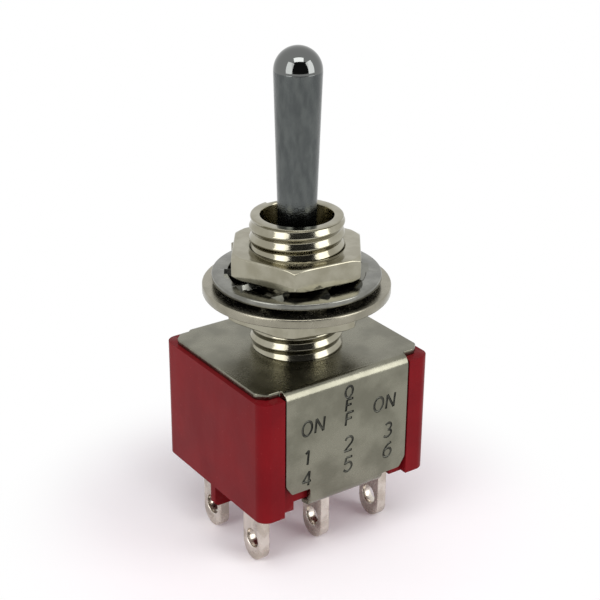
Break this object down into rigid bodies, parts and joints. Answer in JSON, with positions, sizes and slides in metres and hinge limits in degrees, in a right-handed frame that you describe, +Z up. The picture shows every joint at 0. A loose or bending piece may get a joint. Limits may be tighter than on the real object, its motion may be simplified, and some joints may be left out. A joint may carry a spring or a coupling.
{
  "type": "panel toggle switch",
  "caption": "Subminiature bat-lever toggle switch with a red case, folded frame, threaded panel bushing, nuts and washers, and solder lugs; the lever tilts either way from a centre off.",
  "frame": {"origin": "on the bushing's axis, level with the tips of the solder lugs that the switch stands on", "axes": "+Z up along the bushing and the centred lever, +X along the lever's throw, -Y the front face of the frame that carries the lettering"},
  "size_m": [0.013, 0.012, 0.0328],
  "materials": {
    "red_case": "deep red moulded thermoset, satin gloss",
    "tinned_steel": "tin-plated steel sheet, dull silver with faint stains",
    "nickel_brass": "nickel-plated brass, bright and slightly warm",
    "lever_chrome": "grey chrome, satin stem and bright domed tip",
    "spring_steel": "plated spring steel, dark silver",
    "washer_steel": "nickel-plated steel, warm silver",
    "silver_copper": "silver-plated copper alloy, pale and soft",
    "contact_silver": "fine silver contact",
    "nylon": "natural nylon, matt",
    "bronze": "phosphor bronze, satin"
  },
  "bodies": {
    "switch_body": {"case": "red_case", "frame": "tinned_steel", "bushing": "nickel_brass", "terminal_1": "silver_copper", "terminal_2": "silver_copper", "terminal_3": "silver_copper", "terminal_4": "silver_copper", "terminal_5": "silver_copper", "terminal_6": "silver_copper", "fixed_contact_1": "contact_silver", "fixed_contact_3": "contact_silver", "fixed_contact_4": "contact_silver", "fixed_contact_6": "contact_silver", "locating_washer": "washer_steel", "lock_washer": "spring_steel"},
    "toggle": {"lever": "lever_chrome", "pivot_pin": "spring_steel", "plunger_carrier": "nylon", "spring_front": "spring_steel", "spring_rear": "spring_steel"},
    "front_plunger": {"plunger_front": "bronze"},
    "rear_plunger": {"plunger_rear": "bronze"},
    "front_rocker": {"rocker_front": "silver_copper", "moving_contact_1": "contact_silver", "moving_contact_3": "contact_silver"},
    "rear_rocker": {"rocker_rear": "silver_copper", "moving_contact_4": "contact_silver", "moving_contact_6": "contact_silver"},
    "lower_nut_turn": {"lower_nut": "nickel_brass"},
    "upper_nut_turn": {"upper_nut": "nickel_brass"}
  },
  "joints": [
    {"name": "lever_tilt", "type": "hinge", "parent": "switch_body", "child": "toggle", "pos_m": [0, 0, 0.01753], "axis": [0, 1, 0], "range_deg": [-12, 12]},
    {"name": "front_plunger_slide", "type": "slide", "parent": "toggle", "child": "front_plunger", "axis": [0, 0, 1], "range_m": [0, 0.0004], "stiffness_N_per_m": 700, "springref_m": -0.0007, "deforming": ["spring_front"]},
    {"name": "rear_plunger_slide", "type": "slide", "parent": "toggle", "child": "rear_plunger", "axis": [0, 0, 1], "range_m": [0, 0.0004], "stiffness_N_per_m": 700, "springref_m": -0.0007, "deforming": ["spring_rear"]},
    {"name": "front_rocker_tilt", "type": "hinge", "parent": "switch_body", "child": "front_rocker", "pos_m": [0, -0.00245, 0.0085], "axis": [0, 1, 0], "range_deg": [-8.65, 8.65]},
    {"name": "rear_rocker_tilt", "type": "hinge", "parent": "switch_body", "child": "rear_rocker", "pos_m": [0, 0.00245, 0.0085], "axis": [0, 1, 0], "range_deg": [-8.65, 8.65]},
    {"name": "lower_nut_spin", "type": "hinge", "parent": "switch_body", "child": "lower_nut_turn", "pos_m": [0, 0, 0.0163], "axis": [0, 0, 1], "continuous": true},
    {"name": "upper_nut_spin", "type": "hinge", "parent": "switch_body", "child": "upper_nut_turn", "pos_m": [0, 0, 0.0194], "axis": [0, 0, 1], "continuous": true}
  ],
  "couplings": [
    {"joint": "front_rocker_tilt", "follows": "lever_tilt", "ratio": -0.72},
    {"joint": "rear_rocker_tilt", "follows": "lever_tilt", "ratio": -0.72}
  ]
}
